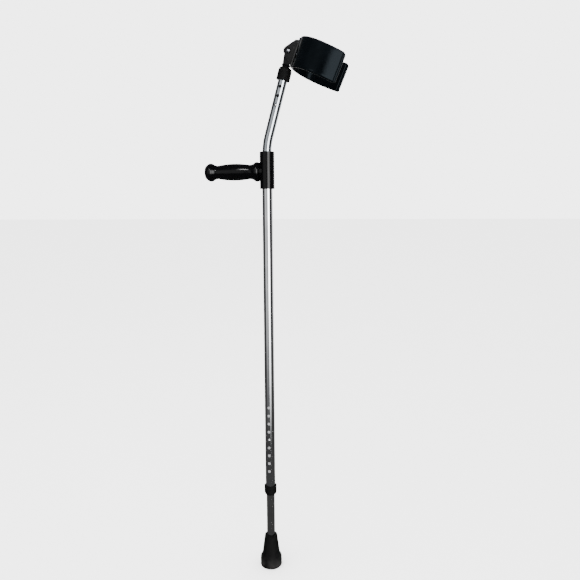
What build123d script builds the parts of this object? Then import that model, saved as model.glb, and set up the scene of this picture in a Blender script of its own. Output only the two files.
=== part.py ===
from build123d import *
import math
import os

# Forearm crutch with a height-adjustable leg and a height-adjustable, tilting cuff.
# Frame: origin at the centre of the rubber tip's sole, +Z up the main tube,
# the hand grip points to -X, the cuff opens to +X and both rows of button holes face -Y.
# All sizes are in millimetres.

# Tubes
TUBE_WALL = 1.2
MAIN_OD = 22.2
LEG_OD = 19.05
UPPER_OD = 19.05
POST_OD = 15.9
POST_WALL = 1.4
MAIN_BOTTOM = 185.0
MAIN_TOP = 950.0
LEG_BOTTOM = 14.0
LEG_TOP = 408.0
UPPER_BOTTOM = 884.0
BEND_HEIGHT = 970.4
BEND_RADIUS = 120.0
UPPER_TILT = 15.35
UPPER_END = 151.5

# Button holes and snap buttons
HOLE_PITCH = 19.05
HOLE_RADIUS = 3.3
LEG_HOLE_COUNT = 9
HOLES_ABOVE_BUTTON = 4
LEG_BUTTON_HEIGHT = 314.0
POST_HOLE_COUNT = 3
POST_BUTTON_REACH = 81.2
BUTTON_RADIUS = 2.9
BUTTON_PROUD = 2.4
BUTTON_FLANGE_RADIUS = 4.2
BUTTON_FLANGE_THICKNESS = 0.8
BUTTON_DOME_DROP = 1.2
SPRING_THICKNESS = 0.6
SPRING_WIDTH = 6.0
SPRING_ABOVE = 8.0
SPRING_BELOW = 34.0

# Rings on the open ends of the outer tubes
RING_RADIUS = 14.2
RING_NOSE_RADIUS = 10.6
RING_NOSE_LENGTH = 10.5
RING_LIP = 7.0
RING_CHAMFER = 1.0
MAIN_RING_STRAIGHT = 12.0
UPPER_RING_STRAIGHT = 15.0
SEAT_GAP = 0.05
SLIDE_GAP = 0.3

# Rubber tip
TIP_BASE_RADIUS = 25.0
TIP_BASE_TOP = 19.0
TIP_SHOULDER_RADIUS = 20.3
TIP_SHOULDER_HEIGHT = 31.0
TIP_TOP_RADIUS = 14.6
TIP_HEIGHT = 76.0
TIP_EDGE_ROUND = 2.0
TIP_CHAMFER = 1.0
TREAD_RADII = (8.5, 13.5, 18.5)
TREAD_WIDTH = 2.0
TREAD_DEPTH = 1.8
WASHER_THICKNESS = 1.5

# Handle
HANDLE_HEIGHT = 914.0
SLEEVE_RADIUS = 15.7
SLEEVE_BOTTOM = 877.7
SLEEVE_TOP = 955.5
BOSS_RADIUS = 13.0
BOSS_REACH = 21.5
CORE_RADIUS = 7.95
CORE_WALL = 1.6
CORE_START = 12.6
CORE_END = 119.0
INSERT_LENGTH = 12.0
GRIP_START = 15.9
GRIP_END = 136.3
FLANGE_RADIUS = 20.8
FLANGE_REACH = 21.2
FLANGE_END = 27.0
INNER_WAIST_RADIUS = 15.2
INNER_WAIST_REACH = 39.0
BELLY_RADIUS = 17.8
BELLY_REACH = 74.0
OUTER_WAIST_RADIUS = 14.4
OUTER_WAIST_REACH = 107.0
KNOB_START = 118.2
KNOB_RADIUS = 19.4
KNOB_REACH = 124.8
KNOB_END = 131.8
GRIP_POCKET_RADIUS = 9.2
GRIP_POCKET_FLOOR = 119.5
BOLT_RADIUS = 3.0
BOLT_HEAD_RADIUS = 5.0
BOLT_HEAD_LENGTH = 6.0
CAP_THICKNESS = 3.0
RIVET_HEIGHTS = (891.0, 941.0)
RIVET_RADIUS = 2.4
RIVET_HEAD_RADIUS = 4.4
RIVET_HEAD_HEIGHT = 1.6
CURVED_WALL_GAP = 1.4

# Flattened head of the cuff post, measured on the upper tube's axis
POST_BOTTOM = 60.0
POST_ROUND_END = 158.0
BLADE_START = 165.0
BLADE_WIDTH = 18.6
BLADE_OFFSET = -1.4
BLADE_THICKNESS = 4.4
BLADE_TIP_RADIUS = 7.3
PIVOT_OFFSET = -3.6
PIVOT_REACH = 191.6
PIVOT_PIN_RADIUS = 3.0
PIVOT_RUNNING_GAP = 0.05

# Cuff, in a frame at the lowest point of its back, leaning towards +X
CUFF_BACK = (52.7, 0.0, 1120.9)
CUFF_TILT = 20.4
CUFF_RADIUS = 56.0
CUFF_THICKNESS = 5.0
CUFF_BACK_BOTTOM = 1.0
CUFF_BACK_TOP = 63.3
WING_REACH_BOTTOM = 103.1
WING_REACH_TOP = 105.1
WING_BOTTOM = -6.4
WING_TOP = 54.2
WING_LIMIT = 112.0
WING_LIMIT_HALF_WIDTH = 38.6
WING_CORNER_TOP = 8.0
WING_CORNER_BOTTOM = 4.0
BAND_THICKNESS = 1.6
BAND_INSET = 4.0
RIM_ROUND = 1.4
CUFF_RIVET_HEIGHTS = (8.5, 50.0)
CUFF_RIVET_SPREAD = 13.0

# Hinge bracket on the back of the cuff
PLATE_THICKNESS = 2.0
PLATE_HALF_ANGLE = 20.0
PLATE_BOTTOM = 2.5
PLATE_TOP = 59.0
EAR_THICKNESS = 2.0
EAR_INNER = 3.0
EAR_RADIUS = 9.5
EAR_BOTTOM = 3.5
EAR_TOP = 58.2
EAR_SHOULDER = (-9.4, 55.7)
SPACER_THICKNESS = 0.6
SPACER_RADIUS = 7.0

BASE = (Align.CENTER, Align.CENTER, Align.MIN)
UPPER_AXIS = Location((0, 0, BEND_HEIGHT), (0, UPPER_TILT, 0))
CUFF_FRAME = Location(CUFF_BACK, (0, CUFF_TILT, 0))
GRIP_AXIS = Location((0, 0, HANDLE_HEIGHT), (0, -90, 0))
FACING_MINUS_Y = Rotation(90, 0, 0)
FACING_PLUS_Y = Rotation(-90, 0, 0)


def ring(outer_radius, inner_radius, low, high):
    """A plain ring or tube on the Z axis between two heights."""
    height = high - low
    solid = Cylinder(outer_radius, height, align=BASE) - Cylinder(inner_radius, height, align=BASE)
    return Pos(0, 0, low) * solid


def disc(radius, low, high):
    """A plain cylinder on the Z axis between two heights."""
    return Pos(0, 0, low) * Cylinder(radius, high - low, align=BASE)


def turned(*curves):
    """A solid turned about Z from a closed outline of (radius, height) curves."""
    outline = Plane.XZ * (Curve() + list(curves))
    return revolve(make_face(outline.edges()), Axis.Z)


def domed_head(radius, height):
    """A low dome standing on the XY plane, like a rivet head."""
    sphere_radius = (radius**2 + height**2) / (2 * height)
    dome = Pos(0, 0, height - sphere_radius) * Sphere(sphere_radius)
    return dome & Cylinder(radius, height, align=BASE)


def rivet(length):
    """A domed rivet on Z: its shank runs down from the XY plane, with a head at each end."""
    outer_head = domed_head(RIVET_HEAD_RADIUS, RIVET_HEAD_HEIGHT)
    inner_head = Pos(0, 0, -length) * Rotation(180, 0, 0) * outer_head
    return disc(RIVET_RADIUS, -length, 0) + outer_head + inner_head


def side_hole(outer_radius, height):
    """The tool that drills one button hole through the -Y wall of a tube on Z."""
    return Pos(0, 0, height) * FACING_MINUS_Y * Cylinder(HOLE_RADIUS, outer_radius + 1, align=BASE)


def main_tube():
    tube = ring(MAIN_OD / 2, MAIN_OD / 2 - TUBE_WALL, MAIN_BOTTOM, MAIN_TOP)
    top_hole = LEG_BUTTON_HEIGHT + HOLES_ABOVE_BUTTON * HOLE_PITCH
    for index in range(LEG_HOLE_COUNT):
        tube -= side_hole(MAIN_OD / 2, top_hole - index * HOLE_PITCH)
    for height in RIVET_HEIGHTS:
        tube -= rivet_hole(height)
    return tube


def rivet_hole(height):
    """The tool that drills one rivet hole through the +Y walls of the sleeve and the tubes."""
    drill = Cylinder(RIVET_RADIUS + SEAT_GAP, SLEEVE_RADIUS + 1, align=BASE)
    return Pos(0, 0, height) * FACING_PLUS_Y * drill


def end_ring(tube_radius, inner_tube_radius, straight):
    """A barrel-nosed ring on a tube's open end, with its nose at Z = 0 and its seat above."""
    bore = inner_tube_radius + SLIDE_GAP
    seat = tube_radius + SEAT_GAP
    top = RING_NOSE_LENGTH + straight
    nose = Spline(
        (RING_NOSE_RADIUS, 0),
        (RING_RADIUS, RING_NOSE_LENGTH),
        tangents=[(1.0, 0.6), (0, 1)],
    )
    walls = Polyline(
        (RING_RADIUS, RING_NOSE_LENGTH),
        (RING_RADIUS, top - RING_CHAMFER),
        (RING_RADIUS - RING_CHAMFER, top),
        (seat, top),
        (seat, RING_LIP),
        (bore, RING_LIP),
        (bore, 0),
        (RING_NOSE_RADIUS, 0),
    )
    return turned(nose, walls)


def main_tube_end_ring():
    ring_shape = end_ring(MAIN_OD / 2, LEG_OD / 2, MAIN_RING_STRAIGHT)
    return Pos(0, 0, MAIN_BOTTOM - RING_LIP) * ring_shape


def upper_tube_end_ring():
    flipped = Rotation(180, 0, 0) * end_ring(UPPER_OD / 2, POST_OD / 2, UPPER_RING_STRAIGHT)
    return UPPER_AXIS * Pos(0, 0, UPPER_END + RING_LIP) * flipped


def upper_tube():
    """A bent tube: a straight stretch in the main tube, one bend, and the cuff's stretch."""
    tilt = math.radians(UPPER_TILT)
    end = (math.sin(tilt) * UPPER_END, 0, BEND_HEIGHT + math.cos(tilt) * UPPER_END)
    path = FilletPolyline((0, 0, UPPER_BOTTOM), (0, 0, BEND_HEIGHT), end, radius=BEND_RADIUS)
    section = Pos(0, 0, UPPER_BOTTOM) * (Circle(UPPER_OD / 2) - Circle(UPPER_OD / 2 - TUBE_WALL))
    tube = sweep(section, path=path)
    for index in range(POST_HOLE_COUNT):
        tube -= UPPER_AXIS * side_hole(UPPER_OD / 2, POST_BUTTON_REACH + index * HOLE_PITCH)
    for height in RIVET_HEIGHTS:
        tube -= rivet_hole(height)
    return tube


def leg_tube():
    tube = ring(LEG_OD / 2, LEG_OD / 2 - TUBE_WALL, LEG_BOTTOM, LEG_TOP)
    return tube - side_hole(LEG_OD / 2, LEG_BUTTON_HEIGHT)


def leg_top_glide():
    """A plastic plug in the top of the leg tube, with a thin flange on the tube's end."""
    bore = LEG_OD / 2 - TUBE_WALL
    plug = ring(bore - SEAT_GAP, bore - 2, LEG_TOP - 12, LEG_TOP)
    flange = ring(LEG_OD / 2, bore - 2, LEG_TOP, LEG_TOP + 1.5)
    return plug + flange


def rubber_tip():
    """A bell-shaped foot with a cast-in seat for the leg tube and three rings of tread."""
    bore = LEG_OD / 2 + SEAT_GAP
    floor = LEG_BOTTOM - WASHER_THICKNESS
    heel = Polyline(
        (0, 0),
        (TIP_BASE_RADIUS - TIP_EDGE_ROUND, 0),
    )
    heel_round = TangentArc(
        (TIP_BASE_RADIUS - TIP_EDGE_ROUND, 0),
        (TIP_BASE_RADIUS, TIP_EDGE_ROUND),
        tangent=(1, 0),
    )
    rim = Line((TIP_BASE_RADIUS, TIP_EDGE_ROUND), (TIP_BASE_RADIUS, TIP_BASE_TOP))
    cone_run = TIP_HEIGHT - TIP_CHAMFER - TIP_SHOULDER_HEIGHT
    shoulder = Spline(
        (TIP_BASE_RADIUS, TIP_BASE_TOP),
        (TIP_SHOULDER_RADIUS, TIP_SHOULDER_HEIGHT),
        tangents=[(0, 1), (TIP_TOP_RADIUS - TIP_SHOULDER_RADIUS, cone_run)],
    )
    mouth = Polyline(
        (TIP_SHOULDER_RADIUS, TIP_SHOULDER_HEIGHT),
        (TIP_TOP_RADIUS, TIP_HEIGHT - TIP_CHAMFER),
        (TIP_TOP_RADIUS - TIP_CHAMFER, TIP_HEIGHT),
        (bore, TIP_HEIGHT),
        (bore, floor),
        (0, floor),
        (0, 0),
    )
    tip = turned(heel, heel_round, rim, shoulder, mouth)
    for radius in TREAD_RADII:
        tip -= ring(radius + TREAD_WIDTH / 2, radius - TREAD_WIDTH / 2, -1, TREAD_DEPTH)
    return tip


def tip_washer():
    return disc(LEG_OD / 2, LEG_BOTTOM - WASHER_THICKNESS, LEG_BOTTOM)


def snap_button(outer_radius, inner_bore):
    """A domed button facing -Y that stands proud of one tube and rests inside another."""
    top = outer_radius + BUTTON_PROUD
    flange_top = inner_bore - SEAT_GAP * 3
    flange_bottom = flange_top - BUTTON_FLANGE_THICKNESS
    pin = disc(BUTTON_RADIUS, flange_bottom, top - BUTTON_DOME_DROP)
    dome = Pos(0, 0, top - BUTTON_DOME_DROP) * domed_head(BUTTON_RADIUS, BUTTON_DOME_DROP)
    flange = disc(BUTTON_FLANGE_RADIUS, flange_bottom, flange_top)
    flange &= Rotation(90, 0, 0) * disc(flange_top, -SPRING_ABOVE, SPRING_ABOVE)
    return FACING_MINUS_Y * (pin + dome + flange)


def snap_spring(inner_bore):
    """A U-shaped leaf spring: one arm carries the button, the other leans on the far wall."""
    arm_face = inner_bore - SEAT_GAP * 3 - BUTTON_FLANGE_THICKNESS
    arm_middle = arm_face - SPRING_THICKNESS / 2
    arm_length = SPRING_ABOVE + SPRING_BELOW
    arm = Pos(0, 0, -SPRING_BELOW) * Box(SPRING_WIDTH, SPRING_THICKNESS, arm_length, align=BASE)
    across = Pos(0, 0, -SPRING_BELOW) * Rotation(0, 90, 0)
    bend = across * Cylinder(arm_face, SPRING_WIDTH)
    bend -= across * Cylinder(arm_face - SPRING_THICKNESS, SPRING_WIDTH)
    bend -= Pos(0, 0, -SPRING_BELOW) * Box(4 * arm_face, 4 * arm_face, 4 * arm_face, align=BASE)
    return Pos(0, -arm_middle, 0) * arm + Pos(0, arm_middle, 0) * arm + bend


def leg_snap_button():
    return Pos(0, 0, LEG_BUTTON_HEIGHT) * snap_button(MAIN_OD / 2, LEG_OD / 2 - TUBE_WALL)


def leg_snap_spring():
    return Pos(0, 0, LEG_BUTTON_HEIGHT) * snap_spring(LEG_OD / 2 - TUBE_WALL)


def post_snap_button():
    button = snap_button(UPPER_OD / 2, POST_OD / 2 - POST_WALL)
    return UPPER_AXIS * Pos(0, 0, POST_BUTTON_REACH) * button


def post_snap_spring():
    spring = snap_spring(POST_OD / 2 - POST_WALL)
    turned_over = Rotation(180, 0, 180) * spring
    return UPPER_AXIS * Pos(0, 0, POST_BUTTON_REACH) * turned_over


def handle_sleeve():
    """The moulded T-shaped sleeve over both tubes, with a boss for the grip's core."""
    body = disc(SLEEVE_RADIUS, SLEEVE_BOTTOM, SLEEVE_TOP)
    body = chamfer(body.edges().filter_by(GeomType.CIRCLE), 0.8)
    body += GRIP_AXIS * disc(BOSS_RADIUS, 0, BOSS_REACH)
    body -= disc(MAIN_OD / 2 + SEAT_GAP, SLEEVE_BOTTOM, MAIN_TOP + SEAT_GAP)
    body -= disc(UPPER_OD / 2 + SEAT_GAP, MAIN_TOP, SLEEVE_TOP)
    body -= GRIP_AXIS * disc(CORE_RADIUS + SEAT_GAP, CORE_START, BOSS_REACH)
    for height in RIVET_HEIGHTS:
        body -= rivet_hole(height)
    return body


def sleeve_rivets():
    """Two blind rivets through the far side of the sleeve and both tubes."""
    length = SLEEVE_RADIUS - UPPER_OD / 2 + TUBE_WALL + CURVED_WALL_GAP
    rivets = []
    for height in RIVET_HEIGHTS:
        rivets.append(Pos(0, SLEEVE_RADIUS, height) * FACING_PLUS_Y * rivet(length))
    return Compound(children=rivets)


def handle_core_tube():
    return GRIP_AXIS * ring(CORE_RADIUS, CORE_RADIUS - CORE_WALL, CORE_START, CORE_END)


def handle_core_insert():
    """The threaded plug in the inner end of the core tube that the long bolt pulls on."""
    radius = CORE_RADIUS - CORE_WALL - SEAT_GAP
    return GRIP_AXIS * ring(radius, BOLT_RADIUS, CORE_START, CORE_START + INSERT_LENGTH)


def hand_grip():
    """The turned grip: a round flange at the sleeve, a waist, a long barrel and an end knob."""
    bore = CORE_RADIUS + SEAT_GAP
    pocket = BOSS_RADIUS + SEAT_GAP * 4
    boss_end = BOSS_REACH + SLIDE_GAP
    mouth = GRIP_POCKET_RADIUS + 0.6
    flange_start = (FLANGE_RADIUS - 2.6, GRIP_START)
    flange_end = (FLANGE_RADIUS - 2.0, FLANGE_END)
    inner_waist = (INNER_WAIST_RADIUS, INNER_WAIST_REACH)
    outer_waist = (OUTER_WAIST_RADIUS, OUTER_WAIST_REACH)
    knob_start = (KNOB_RADIUS - 2.2, KNOB_START)
    knob_end = (KNOB_RADIUS - 3.2, KNOB_END)
    outside = [
        Line((pocket, GRIP_START), flange_start),
        ThreePointArc(flange_start, (FLANGE_RADIUS, FLANGE_REACH), flange_end),
        Spline(flange_end, inner_waist, tangents=[(-0.75, 1.0), (0.15, 1.0)]),
        ThreePointArc(inner_waist, (BELLY_RADIUS, BELLY_REACH), outer_waist),
        Spline(outer_waist, knob_start, tangents=[(-0.2, 1.0), (0.55, 1.0)]),
        ThreePointArc(knob_start, (KNOB_RADIUS, KNOB_REACH), knob_end),
        ThreePointArc(knob_end, (KNOB_RADIUS - 5.8, KNOB_END + 3.1), (mouth, GRIP_END)),
    ]
    inside = Polyline(
        (mouth, GRIP_END),
        (GRIP_POCKET_RADIUS, GRIP_END),
        (GRIP_POCKET_RADIUS, GRIP_POCKET_FLOOR),
        (bore, GRIP_POCKET_FLOOR),
        (bore, boss_end),
        (pocket, boss_end),
        (pocket, GRIP_START),
    )
    return GRIP_AXIS * turned(*outside, inside)


def grip_washer():
    washer = ring(GRIP_POCKET_RADIUS - 0.4, BOLT_RADIUS + 0.3, GRIP_POCKET_FLOOR, GRIP_POCKET_FLOOR + 1.2)
    return GRIP_AXIS * washer


def grip_bolt():
    """The long socket-head bolt through the grip's core."""
    head_start = GRIP_POCKET_FLOOR + 1.2
    head_end = head_start + BOLT_HEAD_LENGTH
    bolt = disc(BOLT_RADIUS, CORE_START, head_start)
    bolt += disc(BOLT_HEAD_RADIUS, head_start, head_end)
    socket = extrude(Pos(0, 0, head_end - 3) * RegularPolygon(2.9, 6), 3)
    return GRIP_AXIS * (bolt - socket)


def grip_end_cap():
    """The push-in cap that closes the grip's outer end, with a skirt down to the washer."""
    radius = GRIP_POCKET_RADIUS - SEAT_GAP
    lid = disc(radius, GRIP_END - CAP_THICKNESS, GRIP_END - 0.6)
    lid += Pos(0, 0, GRIP_END - 0.6) * domed_head(radius, 1.4)
    skirt = ring(radius, radius - 1.4, GRIP_POCKET_FLOOR + 6, GRIP_END - CAP_THICKNESS)
    return GRIP_AXIS * (lid + skirt)


def cuff_post():
    """The inner tube that carries the cuff: round below, flattened to a blade at its head."""
    bore = POST_OD / 2 - POST_WALL
    tube = disc(POST_OD / 2, POST_BOTTOM, POST_ROUND_END)
    round_section = Pos(0, 0, POST_ROUND_END) * Circle(POST_OD / 2)
    flat_section = Pos(BLADE_OFFSET, 0, BLADE_START) * SlotOverall(BLADE_WIDTH, BLADE_THICKNESS)
    tube += loft([round_section, flat_section])
    left = BLADE_OFFSET - BLADE_WIDTH / 2 + BLADE_THICKNESS / 2
    right = BLADE_OFFSET + BLADE_WIDTH / 2 - BLADE_THICKNESS / 2
    tip = Pos(PIVOT_OFFSET, PIVOT_REACH) * Circle(BLADE_TIP_RADIUS)
    foot = Line((left, BLADE_START), (right, BLADE_START))
    blade_outline = make_hull(tip.edges() + foot.edges())
    blade = extrude(Plane.XZ * blade_outline, BLADE_THICKNESS / 2, both=True)
    tube += blade
    tube -= disc(bore, POST_BOTTOM, POST_ROUND_END - 1)
    tube -= side_hole(POST_OD / 2, POST_BUTTON_REACH)
    pivot = Pos(PIVOT_OFFSET, 0, PIVOT_REACH) * Rotation(90, 0, 0)
    tube -= pivot * Cylinder(PIVOT_PIN_RADIUS + PIVOT_RUNNING_GAP, 4 * BLADE_THICKNESS)
    return UPPER_AXIS * tube


def cuff_outline(inset, limit_extra=0.0):
    """The closed plan of the cuff, a half circle with gently closing sides, drawn inwards by an inset."""
    radius = CUFF_RADIUS - inset
    far = WING_LIMIT + limit_extra
    half_width = WING_LIMIT_HALF_WIDTH - inset
    back = ThreePointArc((CUFF_RADIUS, -radius), (CUFF_RADIUS - radius, 0), (CUFF_RADIUS, radius))
    upper_side = TangentArc((CUFF_RADIUS, radius), (far, half_width), tangent=(1, 0))
    lower_side = TangentArc((CUFF_RADIUS, -radius), (far, -half_width), tangent=(1, 0))
    front = Line((far, half_width), (far, -half_width))
    return make_face((Curve() + [back, upper_side, front, lower_side]).edges())


def cuff_band(outer_inset, inner_inset, rim_inset):
    """A C-shaped band of the cuff's outline, trimmed along the rims and at the wing ends."""
    outer = extrude(cuff_outline(outer_inset), 4 * CUFF_RADIUS)
    inner = extrude(cuff_outline(inner_inset, limit_extra=1.0), 4 * CUFF_RADIUS)
    band = Pos(0, 0, -CUFF_RADIUS) * (outer - inner)
    side_view = Polyline(
        (-CUFF_THICKNESS, CUFF_BACK_BOTTOM + rim_inset),
        (WING_REACH_BOTTOM - rim_inset, WING_BOTTOM + rim_inset),
        (WING_REACH_TOP - rim_inset, WING_TOP - rim_inset),
        (-CUFF_THICKNESS, CUFF_BACK_TOP - rim_inset),
        close=True,
    )
    silhouette = make_face(side_view.edges())
    corners = silhouette.vertices().sort_by(Axis.X)[-2:].sort_by(Axis.Y)
    silhouette = fillet(corners[1], WING_CORNER_TOP - rim_inset / 2)
    corners = silhouette.vertices().filter_by_position(Axis.Y, -20, 0).sort_by(Axis.X)
    silhouette = fillet(corners[-1], WING_CORNER_BOTTOM - rim_inset / 2)
    cutter = extrude(Plane.XZ * silhouette, 2 * CUFF_RADIUS, both=True)
    return band & cutter


def radial_frames():
    """Frames on the cuff's outer surface at its rivets, each with +Z pointing out of the cuff."""
    frames = []
    for height in CUFF_RIVET_HEIGHTS:
        for angle in (-CUFF_RIVET_SPREAD, CUFF_RIVET_SPREAD):
            spin = Location((CUFF_RADIUS, 0, height), (0, 0, angle))
            frames.append(CUFF_FRAME * spin * Location((-CUFF_RADIUS, 0, 0), (0, -90, 0)))
    return frames


def cuff_rivet_holes():
    holes = []
    for frame in radial_frames():
        holes.append(frame * Cylinder(RIVET_RADIUS + SEAT_GAP, 6 * CUFF_THICKNESS))
    return holes


def cuff_steel_band():
    """The springy steel core of the cuff."""
    middle = CUFF_THICKNESS / 2
    band = CUFF_FRAME * cuff_band(middle - BAND_THICKNESS / 2, middle + BAND_THICKNESS / 2, BAND_INSET)
    return band - cuff_rivet_holes()


def cuff_vinyl_cover():
    """The soft vinyl skin moulded all round the steel band."""
    skin = cuff_band(0, CUFF_THICKNESS, 0)
    skin = fillet(skin.edges(), RIM_ROUND)
    middle = CUFF_THICKNESS / 2
    core = cuff_band(middle - BAND_THICKNESS / 2, middle + BAND_THICKNESS / 2, BAND_INSET)
    return CUFF_FRAME * (skin - core) - cuff_rivet_holes()


def cuff_hinge_bracket():
    """The bracket riveted to the cuff's back: a curved plate with two ears for the pivot."""
    inner = CUFF_RADIUS + 2 * SEAT_GAP
    plate = ring(inner + PLATE_THICKNESS, inner, PLATE_BOTTOM, PLATE_TOP)
    reach = 2 * inner
    half_width = reach * math.tan(math.radians(PLATE_HALF_ANGLE))
    wedge_outline = Polyline((0, 0), (-reach, half_width), (-reach, -half_width), close=True)
    wedge = extrude(make_face(wedge_outline.edges()), PLATE_TOP)
    plate = Pos(CUFF_RADIUS, 0, 0) * (plate & wedge)
    pivot_x, pivot_z = pivot_in_cuff_frame()
    eye = Pos(pivot_x, pivot_z) * Circle(EAR_RADIUS)
    root = Polyline((-1, EAR_BOTTOM), (-1, EAR_TOP), EAR_SHOULDER)
    ear_outline = make_hull(eye.edges() + root.edges())
    ear = extrude(Plane.XZ * ear_outline, EAR_THICKNESS / 2, both=True)
    bracket = plate
    for side in (-1, 1):
        bracket += Pos(0, side * (EAR_INNER + EAR_THICKNESS / 2), 0) * ear
    bracket -= Pos(pivot_x, 0, pivot_z) * Rotation(90, 0, 0) * Cylinder(PIVOT_PIN_RADIUS, 8 * EAR_INNER)
    return CUFF_FRAME * bracket - cuff_rivet_holes()


def pivot_in_cuff_frame():
    """The pivot's place in the cuff's frame, as its forward and upward distances."""
    pivot = CUFF_FRAME.inverse() * UPPER_AXIS * Location((PIVOT_OFFSET, 0, PIVOT_REACH))
    return pivot.position.X, pivot.position.Z


def at_pivot(shape):
    """Moves a shape made on +Z to the pivot, pointing to -Y."""
    pivot = UPPER_AXIS * Location((PIVOT_OFFSET, 0, PIVOT_REACH))
    return Pos(*pivot.position) * FACING_MINUS_Y * shape


def cuff_pivot_bolt():
    ear_face = EAR_INNER + EAR_THICKNESS
    bolt = disc(PIVOT_PIN_RADIUS, -ear_face - 7, ear_face)
    bolt += Pos(0, 0, ear_face) * domed_head(6.0, 3.2)
    return at_pivot(bolt)


def cuff_pivot_spacers():
    """Two thin nylon spacers between the post's blade and the bracket's ears."""
    low = EAR_INNER - SPACER_THICKNESS - SEAT_GAP
    spacer = ring(SPACER_RADIUS, PIVOT_PIN_RADIUS + SEAT_GAP, low, low + SPACER_THICKNESS)
    return at_pivot(Compound(children=[spacer, Rotation(180, 0, 0) * spacer]))


def cuff_pivot_washer():
    ear_face = EAR_INNER + EAR_THICKNESS
    return at_pivot(ring(6.5, PIVOT_PIN_RADIUS + SEAT_GAP, -ear_face - 0.8, -ear_face))


def cuff_pivot_nut():
    """The hexagonal lock nut on the far end of the pivot bolt."""
    start = EAR_INNER + EAR_THICKNESS + 0.8
    nut = extrude(Pos(0, 0, -start - 5) * RegularPolygon(5.8, 6), 5)
    nut += disc(4.6, -start - 6.0, -start - 5)
    nut -= disc(PIVOT_PIN_RADIUS, -start - 6, -start)
    return at_pivot(nut)


def cuff_rivets():
    """Four rivets that hold the bracket, the vinyl cover and the steel band together."""
    plate_face = PLATE_THICKNESS + 2 * SEAT_GAP
    length = plate_face + CUFF_THICKNESS + CURVED_WALL_GAP
    rivets = []
    for frame in radial_frames():
        rivets.append(frame * Pos(0, 0, plate_face) * rivet(length))
    return Compound(children=rivets)


def cuff_rivet_washers():
    """Four washers under the rivets' inner heads, just clear of the curved vinyl."""
    washers = []
    for frame in radial_frames():
        washer = ring(6.0, RIVET_RADIUS + SEAT_GAP, -CUFF_THICKNESS - 1.35, -CUFF_THICKNESS - 0.5)
        washers.append(frame * washer)
    return Compound(children=washers)


PARTS = (
    rubber_tip,
    tip_washer,
    leg_tube,
    leg_top_glide,
    leg_snap_button,
    leg_snap_spring,
    main_tube,
    main_tube_end_ring,
    handle_sleeve,
    sleeve_rivets,
    handle_core_tube,
    handle_core_insert,
    hand_grip,
    grip_washer,
    grip_bolt,
    grip_end_cap,
    upper_tube,
    upper_tube_end_ring,
    cuff_post,
    post_snap_button,
    post_snap_spring,
    cuff_hinge_bracket,
    cuff_pivot_bolt,
    cuff_pivot_spacers,
    cuff_pivot_washer,
    cuff_pivot_nut,
    cuff_steel_band,
    cuff_vinyl_cover,
    cuff_rivets,
    cuff_rivet_washers,
)

os.makedirs("parts", exist_ok=True)
for make_part in PARTS:
    export_step(make_part(), f"parts/{make_part.__name__}.step")
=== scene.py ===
import math

import bpy
from mathutils import Matrix, Vector


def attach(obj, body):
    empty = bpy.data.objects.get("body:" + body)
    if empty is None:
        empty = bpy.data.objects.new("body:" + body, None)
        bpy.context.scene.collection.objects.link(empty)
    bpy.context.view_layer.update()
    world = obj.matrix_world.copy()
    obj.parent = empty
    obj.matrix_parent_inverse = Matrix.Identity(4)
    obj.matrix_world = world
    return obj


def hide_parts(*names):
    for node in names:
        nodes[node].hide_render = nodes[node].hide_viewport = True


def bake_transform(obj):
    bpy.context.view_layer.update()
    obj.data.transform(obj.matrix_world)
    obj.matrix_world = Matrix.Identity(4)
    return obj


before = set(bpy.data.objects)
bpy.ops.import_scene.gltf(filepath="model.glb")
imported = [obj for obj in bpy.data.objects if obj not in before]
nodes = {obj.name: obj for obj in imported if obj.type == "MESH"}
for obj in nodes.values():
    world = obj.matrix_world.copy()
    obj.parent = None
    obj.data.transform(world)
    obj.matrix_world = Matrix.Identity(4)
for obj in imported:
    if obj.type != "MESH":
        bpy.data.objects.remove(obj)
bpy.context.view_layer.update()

MM = 0.001


# ---------------------------------------------------------------- materials

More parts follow.
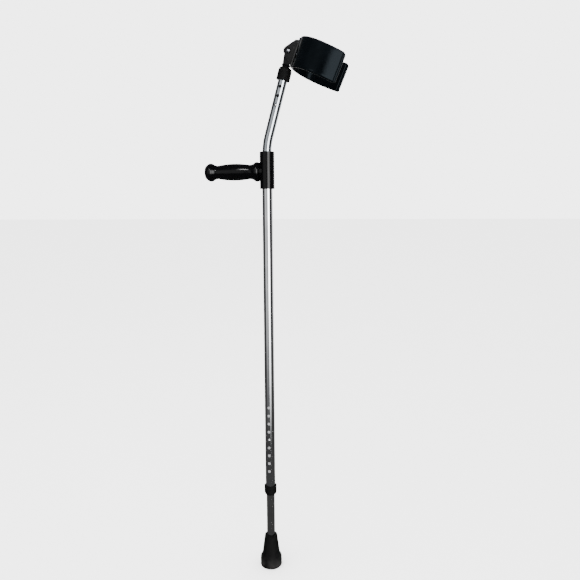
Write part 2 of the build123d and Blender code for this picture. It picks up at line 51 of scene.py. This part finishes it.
class Nodes:
    """A short way to build one material's node tree."""

    def __init__(self, name):
        self.material = bpy.data.materials.new(name)
        self.material.use_nodes = True
        self.tree = self.material.node_tree
        self.shader = self.tree.nodes["Principled BSDF"]
        self.coordinates = self.add("ShaderNodeTexCoord").outputs["Object"]

    def add(self, kind, **settings):
        node = self.tree.nodes.new(kind)
        for key, value in settings.items():
            setattr(node, key, value)
        return node

    def link(self, source, target):
        self.tree.links.new(source, target)

    def stretched(self, scale):
        mapping = self.add("ShaderNodeMapping")
        mapping.inputs["Scale"].default_value = scale
        self.link(self.coordinates, mapping.inputs["Vector"])
        return mapping.outputs["Vector"]

    def noise(self, scale, detail=3.0, roughness=0.55, stretch=None):
        noise = self.add("ShaderNodeTexNoise")
        noise.inputs["Scale"].default_value = scale
        noise.inputs["Detail"].default_value = detail
        noise.inputs["Roughness"].default_value = roughness
        self.link(self.stretched(stretch) if stretch else self.coordinates, noise.inputs["Vector"])
        return noise.outputs["Fac"]

    def cells(self, scale, feature="F1"):
        cells = self.add("ShaderNodeTexVoronoi", feature=feature)
        cells.inputs["Scale"].default_value = scale
        self.link(self.coordinates, cells.inputs["Vector"])
        return cells.outputs["Distance"]

    def remap(self, value, low, high, to_low, to_high):
        remap = self.add("ShaderNodeMapRange")
        for key, number in zip(("From Min", "From Max", "To Min", "To Max"), (low, high, to_low, to_high)):
            remap.inputs[key].default_value = number
        self.link(value, remap.inputs["Value"])
        return remap.outputs["Result"]

    def math(self, operation, first, second):
        node = self.add("ShaderNodeMath", operation=operation)
        for socket, value in zip(node.inputs, (first, second)):
            if isinstance(value, (int, float)):
                socket.default_value = value
            else:
                self.link(value, socket)
        return node.outputs["Value"]

    def mix(self, factor, first, second):
        mix = self.add("ShaderNodeMix", data_type="RGBA")
        self.link(factor, mix.inputs["Factor"])
        for socket, value in zip((mix.inputs[6], mix.inputs[7]), (first, second)):
            if isinstance(value, tuple):
                socket.default_value = (*value, 1.0)
            else:
                self.link(value, socket)
        return mix.outputs[2]

    def axis(self, name):
        split = self.add("ShaderNodeSeparateXYZ")
        self.link(self.coordinates, split.inputs["Vector"])
        return split.outputs[name]

    def bump(self, height, distance, strength=1.0, below=None):
        bump = self.add("ShaderNodeBump")
        bump.inputs["Distance"].default_value = distance
        bump.inputs["Strength"].default_value = strength
        self.link(height, bump.inputs["Height"])
        if below is not None:
            self.link(below, bump.inputs["Normal"])
        return bump.outputs["Normal"]

    def set(self, **values):
        for key, value in values.items():
            socket = self.shader.inputs[key.replace("_", " ")]
            if isinstance(value, tuple):
                socket.default_value = (*value, 1.0)
            elif isinstance(value, (int, float)):
                socket.default_value = value
            else:
                self.link(value, socket)
        return self.material


def polished_aluminium(name, tint, dull, polish, matt_above=None):
    """Drawn and polished tube: fine lines along it, soft blotches of oxide, a few rubbed marks.

    Above the given height in metres the tube is pale and matt instead.
    """
    m = Nodes(name)
    lines = m.noise(1.0, detail=2.0, stretch=(900, 900, 9))
    blotches = m.noise(22.0, detail=4.0)
    rubbed = m.noise(1.0, detail=5.0, roughness=0.7, stretch=(120, 120, 30))
    colour = m.mix(m.remap(blotches, 0.35, 0.7, 0, 1), dull, tint)
    smooth_metal = m.remap(blotches, 0.3, 0.7, polish, polish + 0.03)
    roughness = m.math("ADD", smooth_metal, m.remap(rubbed, 0.6, 0.8, 0, 0.06))
    normal = m.bump(lines, 0.000006)
    if matt_above is None:
        return m.set(Base_Color=colour, Metallic=1.0, Roughness=roughness, Normal=normal)
    matt = m.remap(m.axis("Z"), matt_above, matt_above + 0.008, 0, 1)
    pale = m.mix(matt, colour, (0.22, 0.22, 0.225))
    soft = m.math("ADD", roughness, m.remap(matt, 0, 1, 0, 0.4))
    metallic = m.remap(matt, 0, 1, 1.0, 0.1)
    return m.set(Base_Color=pale, Metallic=metallic, Roughness=soft, Normal=normal)


def plain_steel(name, tint, dull, roughness_low, roughness_high):
    """Plated or blued steel with a mottled coat."""
    m = Nodes(name)
    mottle = m.noise(350.0, detail=4.0)
    colour = m.mix(m.remap(mottle, 0.35, 0.65, 0, 1), dull, tint)
    roughness = m.remap(mottle, 0.3, 0.7, roughness_low, roughness_high)
    return m.set(Base_Color=colour, Metallic=1.0, Roughness=roughness, Normal=m.bump(mottle, 0.00001))


def gloss_plastic(name, colour, lift, roughness_low, roughness_high, peel=0.00002):
    """Glossy moulded plastic: faint orange peel, handling smears and a little dust in the colour."""
    m = Nodes(name)
    smears = m.noise(28.0, detail=5.0, roughness=0.6)
    peel_height = m.noise(650.0, detail=2.0)
    dust = m.remap(m.noise(160.0, detail=6.0, roughness=0.75), 0.62, 0.85, 0, 1)
    base = m.mix(dust, colour, lift)
    roughness = m.remap(smears, 0.3, 0.7, roughness_low, roughness_high)
    normal = m.bump(peel_height, peel)
    return m.set(Base_Color=base, Roughness=roughness, Normal=normal, Specular_IOR_Level=0.22)


def cuff_vinyl(name):
    """Moulded vinyl with a fine pebble grain, soft undulations and a faint blue sheen."""
    m = Nodes(name)
    pebble = m.cells(900.0, feature="SMOOTH_F1")
    fine = m.noise(2400.0, detail=2.0)
    waves = m.noise(38.0, detail=3.0)
    smears = m.noise(24.0, detail=5.0, roughness=0.62)
    smeared = m.remap(smears, 0.3, 0.75, 0, 1)
    colour = m.mix(smeared, (0.0005, 0.0007, 0.0009), (0.0010, 0.0014, 0.0019))
    roughness = m.remap(smears, 0.3, 0.7, 0.14, 0.22)
    normal = m.bump(waves, 0.0009, strength=0.5)
    normal = m.bump(pebble, 0.00005, strength=0.6, below=normal)
    normal = m.bump(fine, 0.00001, strength=0.6, below=normal)
    sheen = (0.7, 0.87, 1.0)
    return m.set(
        Base_Color=colour, Roughness=roughness, Normal=normal, Specular_IOR_Level=0.06, Specular_Tint=sheen,
    )


def rubber(name, colour, worn, wear_low, wear_high):
    """Moulded rubber: a matt grain, and grey dust rubbed in towards the floor."""
    m = Nodes(name)
    grain = m.noise(900.0, detail=4.0)
    patches = m.noise(45.0, detail=5.0, roughness=0.65)
    near_floor = m.remap(m.axis("Z"), wear_low, wear_high, 0.9, 0.0)
    wear = m.math("MULTIPLY", near_floor, m.remap(patches, 0.42, 0.7, 0, 1))
    base = m.mix(wear, colour, worn)
    roughness = m.remap(patches, 0.3, 0.7, 0.62, 0.82)
    normal = m.bump(grain, 0.00006)
    return m.set(Base_Color=base, Roughness=roughness, Normal=normal, Specular_IOR_Level=0.12)


def black_coat(name, colour, rubbed, roughness_low, roughness_high):
    """Gloss black coating on steel: slight flow marks, and sparse rubbed patches that have gone dull."""
    m = Nodes(name)
    flow = m.noise(120.0, detail=3.0)
    patches = m.remap(m.noise(75.0, detail=6.0, roughness=0.75), 0.60, 0.74, 0, 1)
    base = m.mix(patches, colour, rubbed)
    glossy = m.remap(flow, 0.3, 0.7, roughness_low, roughness_high)
    roughness = m.math("ADD", glossy, m.remap(patches, 0, 1, 0, 0.15))
    normal = m.bump(flow, 0.00005)
    return m.set(Base_Color=base, Roughness=roughness, Normal=normal, Specular_IOR_Level=0.14)


def dress(material, *names):
    """Give CAD nodes a material in place of their own."""
    for name in names:
        slots = nodes[name].data.materials
        slots.clear()
        slots.append(material)


SOFT_BLACK = (0.0006, 0.0006, 0.0008)
LEG_MATT_ABOVE = 0.228

main_tube_metal = polished_aluminium("main_tube_metal", (0.80, 0.81, 0.83), (0.66, 0.67, 0.69), 0.065)
leg_tube_metal = polished_aluminium(
    "leg_tube_metal", (0.78, 0.78, 0.79), (0.60, 0.60, 0.60), 0.065, matt_above=LEG_MATT_ABOVE,
)
upper_tube_metal = polished_aluminium("upper_tube_metal", (0.52, 0.56, 0.60), (0.40, 0.43, 0.46), 0.13)
button_metal = plain_steel("snap_button_metal", (0.86, 0.86, 0.86), (0.70, 0.70, 0.71), 0.12, 0.22)
spring_metal = plain_steel("spring_metal", (0.30, 0.31, 0.34), (0.20, 0.20, 0.22), 0.30, 0.42)
zinc_plate = plain_steel("zinc_plate", (0.66, 0.67, 0.68), (0.50, 0.51, 0.52), 0.28, 0.42)
black_oxide = plain_steel("black_oxide", (0.06, 0.06, 0.065), (0.03, 0.03, 0.033), 0.35, 0.5)
grip_gloss = gloss_plastic("grip_gloss", SOFT_BLACK, (0.006, 0.006, 0.007), 0.13, 0.20)
sleeve_satin = gloss_plastic("sleeve_satin", SOFT_BLACK, (0.004, 0.004, 0.004), 0.15, 0.20, peel=0.00003)
guide_nylon = gloss_plastic("guide_nylon", (0.004, 0.004, 0.004), (0.012, 0.012, 0.012), 0.40, 0.50)
ring_rubber = rubber("ring_rubber", (0.0008, 0.0008, 0.0009), (0.010, 0.010, 0.010), 0.0, 0.001)
tip_rubber = rubber("tip_rubber", (0.0010, 0.0010, 0.0010), (0.020, 0.019, 0.018), 0.0, 0.03)
post_coat = black_coat("post_coat", SOFT_BLACK, (0.012, 0.012, 0.013), 0.16, 0.26)
bracket_coat = black_coat("bracket_coat", SOFT_BLACK, (0.010, 0.010, 0.011), 0.26, 0.36)
fastener_metal = plain_steel("fastener_metal", (0.26, 0.27, 0.29), (0.16, 0.16, 0.18), 0.20, 0.32)
sleeve_rivet_coat = black_coat("sleeve_rivet_coat", (0.004, 0.004, 0.005), (0.03, 0.03, 0.032), 0.16, 0.26)
cuff_material = cuff_vinyl("cuff_vinyl_grain")

dress(main_tube_metal, "main_tube")
dress(leg_tube_metal, "leg_tube")
dress(upper_tube_metal, "upper_tube")
dress(button_metal, "leg_snap_button", "post_snap_button")
dress(spring_metal, "leg_snap_spring", "post_snap_spring")
dress(zinc_plate, "handle_core_tube", "handle_core_insert", "grip_washer", "tip_washer", "cuff_steel_band")
dress(black_oxide, "grip_bolt")
dress(grip_gloss, "hand_grip", "grip_end_cap")
dress(sleeve_satin, "handle_sleeve")
dress(guide_nylon, "leg_top_glide", "cuff_pivot_spacers")
dress(ring_rubber, "main_tube_end_ring", "upper_tube_end_ring")
dress(tip_rubber, "rubber_tip")
dress(post_coat, "cuff_post")
dress(bracket_coat, "cuff_hinge_bracket")
dress(fastener_metal, "cuff_pivot_bolt", "cuff_pivot_nut", "cuff_pivot_washer")
dress(fastener_metal, "cuff_rivets", "cuff_rivet_washers")
dress(sleeve_rivet_coat, "sleeve_rivets")


# ---------------------------------------------------------------- cuff cover
# Sizes are in millimetres, in the cuff's own frame: forward from its back, across, and up its wall.

CUFF_BACK = Vector((52.7, 0.0, 1120.9)) * MM
CUFF_TILT = math.radians(20.4)
CUFF_FRAME = Matrix.Translation(CUFF_BACK) @ Matrix.Rotation(CUFF_TILT, 4, "Y")
CUFF_CENTRE = 56.0
CUFF_MIDDLE = 53.5
SIDE_RADIUS = 98.8
CUFF_QUARTER = CUFF_MIDDLE * math.pi / 2
CUFF_REACH = CUFF_QUARTER + 50.2
WING_SHEAR = 0.033
BODY_HALF = 2.35
RIM_HALF = 2.65
RIM_PROFILE = (
    (0.0, 0.0), (0.12, 0.75), (0.5, 1.5), (1.2, 2.2), (2.2, 2.6), (3.2, 2.6), (4.4, 2.42), (6.0, 2.35),
)
RIM_LOW = 1.0
RIM_HIGH = 63.3
LOW_SLOPE = 0.0685
HIGH_SLOPE = 0.0827
SLOPE_START = 5
SHEAR_START = 70.0
RIPPLE = 0.10
WALL_STEPS = 26
MIDDLE_STEPS = 150
END_LENGTH = 11.0
CORNER_TOP = 8.0
CORNER_BOTTOM = 4.0
LIP_DISTANCE = 6.6


def cuff_plan(distance):
    """The middle of the cuff's wall in plan, and its outward normal, at a distance from the back."""
    side = 1.0 if distance >= 0 else -1.0
    along = abs(distance)
    if along <= CUFF_QUARTER:
        angle = along / CUFF_MIDDLE
        point = (CUFF_CENTRE - CUFF_MIDDLE * math.cos(angle), side * CUFF_MIDDLE * math.sin(angle))
        normal = (-math.cos(angle), side * math.sin(angle))
    else:
        angle = (along - CUFF_QUARTER) / SIDE_RADIUS
        drop = SIDE_RADIUS * (1 - math.cos(angle))
        point = (CUFF_CENTRE + SIDE_RADIUS * math.sin(angle), side * (CUFF_MIDDLE - drop))
        normal = (math.sin(angle), side * math.cos(angle))
    return point, normal


def smooth(low, high, value):
    """Rises from 0 at the low value to 1 at the high one, with no corner at either."""
    t = min(max((value - low) / (high - low), 0.0), 1.0)
    return t * t * (3 - 2 * t)


def corner_cut(radius, distance):
    """How far a rounded corner lowers the rim at a distance from the wing's end."""
    if distance >= radius:
        return 0.0
    return radius - math.sqrt(max(radius**2 - (radius - distance) ** 2, 0.0))


def cuff_half_thickness(end_distance):
    """Half the wall at a distance from the wing's end: a bead, a channel and a welded ridge."""
    bead = RIM_HALF * math.sqrt(max(1 - (1 - min(end_distance / RIM_HALF, 1.0)) ** 2, 0.0))
    channel = 0.55 * smooth(2.2, 3.4, end_distance) * (1 - smooth(5.4, 6.2, end_distance))
    ridge = 0.50 * math.exp(-(((end_distance - LIP_DISTANCE) / 0.7) ** 2))
    settle = (RIM_HALF - BODY_HALF) * smooth(2.0, 3.4, end_distance)
    return max(bead - channel + ridge - settle, 0.02)


def cuff_stations():
    """Distances along the cuff, close together at the ridge and at the rounded ends."""
    ends = [0.0, 0.05, 0.15, 0.35, 0.65, 1.05, 1.5, 2.0, 2.6, 3.2, 3.8, 4.6, 5.2, 5.6]
    ends += [5.9 + 0.2 * step for step in range(9)] + [8.0, 8.8, 9.8]
    inner = CUFF_REACH - END_LENGTH
    middle = [-inner + 2 * inner * step / MIDDLE_STEPS for step in range(MIDDLE_STEPS + 1)]
    return [-CUFF_REACH + d for d in ends] + middle + [CUFF_REACH - d for d in reversed(ends)]


def cuff_loop(distance):
    """One closed loop of the cover's section, as (plan point, height) values."""
    (plan_u, plan_v), (normal_u, normal_v) = cuff_plan(distance)
    end_distance = CUFF_REACH - abs(distance)
    half = cuff_half_thickness(end_distance)
    low = RIM_LOW - LOW_SLOPE * (plan_u + SLOPE_START) + corner_cut(CORNER_BOTTOM, end_distance)
    high = RIM_HIGH - HIGH_SLOPE * (plan_u + SLOPE_START) - corner_cut(CORNER_TOP, end_distance)
    shear = WING_SHEAR * smooth(SHEAR_START, CUFF_REACH, abs(distance))
    heights = []
    for lift, width in RIM_PROFILE:
        heights.append((low + lift, width))
    body_low = low + RIM_PROFILE[-1][0]
    body_high = high - RIM_PROFILE[-1][0]
    for step in range(1, WALL_STEPS):
        heights.append((body_low + (body_high - body_low) * step / WALL_STEPS, BODY_HALF))
    for lift, width in reversed(RIM_PROFILE):
        heights.append((high - lift, width))
    loop = []
    for side, walk in ((1.0, heights), (-1.0, list(reversed(heights))[1:-1])):
        for height, width in walk:
            fraction = (height - low) / (high - low)
            ripple = RIPPLE * math.sin(distance * 0.13 + 4.0 * fraction) * math.sin(math.pi * fraction)
            offset = side * half * width / BODY_HALF + ripple
            forward = plan_u + normal_u * offset + shear * (height - (low + high) / 2)
            loop.append((forward, plan_v + normal_v * offset, height))
    return loop


def closed_tube_mesh(name, loops):
    """A mesh from equal loops, joined in order and closed at both ends across the loop."""
    size = len(loops[0])
    points = [tuple(CUFF_FRAME @ (Vector(point) * MM)) for loop in loops for point in loop]
    faces = []
    for row in range(len(loops) - 1):
        start, after = row * size, (row + 1) * size
        for i in range(size):
            j = (i + 1) % size
            faces.append((start + i, start + j, after + j, after + i))
    half = size // 2
    for row, flip in ((0, True), (len(loops) - 1, False)):
        start = row * size
        for i in range(half):
            near, far = start + i, start + (i + 1)
            across_near, across_far = start + (size - i) % size, start + (size - i - 1) % size
            if len({near, far, across_far, across_near}) < 3:
                continue
            face = list(dict.fromkeys([near, far, across_far, across_near]))
            faces.append(tuple(reversed(face)) if flip else tuple(face))
    mesh = bpy.data.meshes.new(name)
    mesh.from_pydata(points, [], faces)
    mesh.validate()
    return mesh


def add_object(name, mesh, material):
    """A smooth-shaded object in the scene."""
    obj = bpy.data.objects.new(name, mesh)
    bpy.context.scene.collection.objects.link(obj)
    mesh.materials.append(material)
    for polygon in mesh.polygons:
        polygon.use_smooth = True
    return obj


cuff_loops = [cuff_loop(distance) for distance in cuff_stations()]
cuff_cover = add_object("cuff_cover", closed_tube_mesh("cuff_cover", cuff_loops), cuff_material)
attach(cuff_cover, "cuff")
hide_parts("cuff_vinyl_cover")


# ---------------------------------------------------------------- snap springs


def bending_spring(node_name):
    """A world-space copy of the spring's mesh that stands in place of its CAD node, which is hidden; the
    copy keeps the CAD shape.
    """
    node = nodes[node_name]
    mesh = node.data.copy()
    mesh.transform(node.matrix_world)
    obj = bpy.data.objects.new(node_name + "_bending", mesh)
    bpy.context.scene.collection.objects.link(obj)
    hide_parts(node_name)
    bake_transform(obj)


bending_spring("leg_snap_spring")
bending_spring("post_snap_spring")


# ---------------------------------------------------------------- studio

def add_floor():
    """A plain pale floor that follows the leg, so that the tip stands on it at every length."""
    size = 40.0
    mesh = bpy.data.meshes.new("floor")
    corners = [(-size, -size, 0), (size, -size, 0), (size, size, 0), (-size, size, 0)]
    mesh.from_pydata(corners, [], [(0, 1, 2, 3)])
    m = Nodes("floor_paint")
    speckle = m.noise(3.0, detail=5.0)
    colour = m.mix(speckle, (0.88, 0.88, 0.88), (0.91, 0.91, 0.91))
    floor = add_object("floor", mesh, m.set(Base_Color=colour, Roughness=0.9))
    floor.visible_glossy = False
    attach(floor, "leg")


def add_area_light(name, place, target, width, height, power):
    """A soft rectangular light that faces its target. Sizes are in metres and the power in watts."""
    light = bpy.data.lights.new(name, "AREA")
    light.shape = "RECTANGLE"
    light.size = width
    light.size_y = height
    light.energy = power
    obj = bpy.data.objects.new(name, light)
    obj.location = place
    obj.rotation_euler = (Vector(target) - Vector(place)).to_track_quat("-Z", "Y").to_euler()
    bpy.context.scene.collection.objects.link(obj)
    return obj


# The width of a softbox's soft sides is in degrees.
SOFTBOX_EDGE = 12.0
WALL_BRIGHTNESS = 0.08
ROOM_COLOUR = (0.92, 0.92, 0.92, 1.0)
ROOM_BRIGHTNESS = 4.8


def add_world():
    """A plain pale room, in which polished surfaces mirror dim walls and four tall softboxes."""
    world = bpy.data.worlds.new("studio")
    bpy.context.scene.world = world
    world.use_nodes = True
    world.cycles.sampling_method = "NONE"
    tree = world.node_tree
    tree.nodes.clear()

    def add(kind, **settings):
        node = tree.nodes.new(kind)
        for key, value in settings.items():
            setattr(node, key, value)
        return node

    def fade(source, start, end, brightness=1.0):
        """Nothing at the start value, rising smoothly to the brightness at the end value."""
        node = add("ShaderNodeMapRange", interpolation_type="SMOOTHSTEP")
        node.inputs["From Min"].default_value = start
        node.inputs["From Max"].default_value = end
        node.inputs["To Max"].default_value = brightness
        tree.links.new(source, node.inputs["Value"])
        return node.outputs["Result"]

    def combine(operation, first, second):
        node = add("ShaderNodeMath", operation=operation)
        tree.links.new(first, node.inputs[0])
        tree.links.new(second, node.inputs[1])
        return node.outputs["Value"]

    direction = add("ShaderNodeTexCoord").outputs["Generated"]
    level = add("ShaderNodeVectorMath", operation="MULTIPLY")
    level.inputs[1].default_value = (1.0, 1.0, 0.0)
    tree.links.new(direction, level.inputs[0])
    flat = add("ShaderNodeVectorMath", operation="NORMALIZE")
    tree.links.new(level.outputs["Vector"], flat.inputs[0])

    def softbox(middle, half_width, brightness):
        """A tall softbox, its middle measured in degrees round the object from the front."""
        facing = add("ShaderNodeVectorMath", operation="DOT_PRODUCT")
        angle = math.radians(middle)
        facing.inputs[1].default_value = (math.sin(angle), -math.cos(angle), 0.0)
        tree.links.new(flat.outputs["Vector"], facing.inputs[0])
        outer_edge = math.cos(math.radians(half_width + SOFTBOX_EDGE))
        inner_edge = math.cos(math.radians(half_width))
        return fade(facing.outputs["Value"], outer_edge, inner_edge, brightness)

    key = softbox(35, 10, 12.0)
    fill = softbox(-25, 20, 1.0)
    rear_left = softbox(-150, 15, 2.0)
    rear_right = softbox(150, 15, 2.0)
    front_pair = combine("ADD", key, fill)
    rear_pair = combine("ADD", rear_left, rear_right)
    softboxes = combine("ADD", front_pair, rear_pair)
    height = add("ShaderNodeSeparateXYZ")
    tree.links.new(direction, height.inputs["Vector"])
    lower_edge = fade(height.outputs["Z"], -0.42, -0.10)
    upper_edge = fade(height.outputs["Z"], 0.55, 0.35)
    mirrored = combine("MULTIPLY", softboxes, combine("MULTIPLY", lower_edge, upper_edge))
    with_walls = add("ShaderNodeMath", operation="ADD")
    with_walls.inputs[1].default_value = WALL_BRIGHTNESS
    tree.links.new(mirrored, with_walls.inputs[0])

    room = add("ShaderNodeBackground")
    room.inputs["Color"].default_value = ROOM_COLOUR
    room.inputs["Strength"].default_value = ROOM_BRIGHTNESS
    studio = add("ShaderNodeBackground")
    tree.links.new(with_walls.outputs["Value"], studio.inputs["Strength"])
    paths = add("ShaderNodeLightPath")
    choose = add("ShaderNodeMixShader")
    tree.links.new(paths.outputs["Is Glossy Ray"], choose.inputs["Fac"])
    tree.links.new(room.outputs["Background"], choose.inputs[1])
    tree.links.new(studio.outputs["Background"], choose.inputs[2])
    output = add("ShaderNodeOutputWorld")
    tree.links.new(choose.outputs["Shader"], output.inputs["Surface"])


def add_camera():
    """A camera at head height in front, a little to the cuff's side, looking slightly down."""
    place = Vector((0.2549, -1.1679, 0.8371))
    pitch = math.radians(8.52)
    yaw = math.radians(-10.03)
    roll = math.radians(-0.29)
    forward = Vector((math.sin(yaw) * math.cos(pitch), math.cos(yaw) * math.cos(pitch), -math.sin(pitch)))
    right = Vector((math.cos(yaw), -math.sin(yaw), 0.0))
    up = right.cross(forward)
    right_rolled = math.cos(roll) * right + math.sin(roll) * up
    up_rolled = -math.sin(roll) * right + math.cos(roll) * up
    camera = bpy.data.cameras.new("camera")
    camera.sensor_width = 36.0
    camera.lens = 33.98
    obj = bpy.data.objects.new("camera", camera)
    turn = Matrix((right_rolled, up_rolled, -forward)).transposed().to_4x4()
    obj.matrix_world = Matrix.Translation(place) @ turn
    bpy.context.scene.collection.objects.link(obj)
    bpy.context.scene.camera = obj


add_floor()
add_world()
add_area_light("front_softbox", (-0.10, -1.75, 2.15), (-0.06, 0, 0.91), width=0.40, height=0.26, power=16.0)
top_light = add_area_light("top_softbox", (-0.6, -0.8, 2.6), (0, 0, 0.4), width=1.2, height=1.2, power=40.0)
top_light.visible_glossy = False
add_camera()
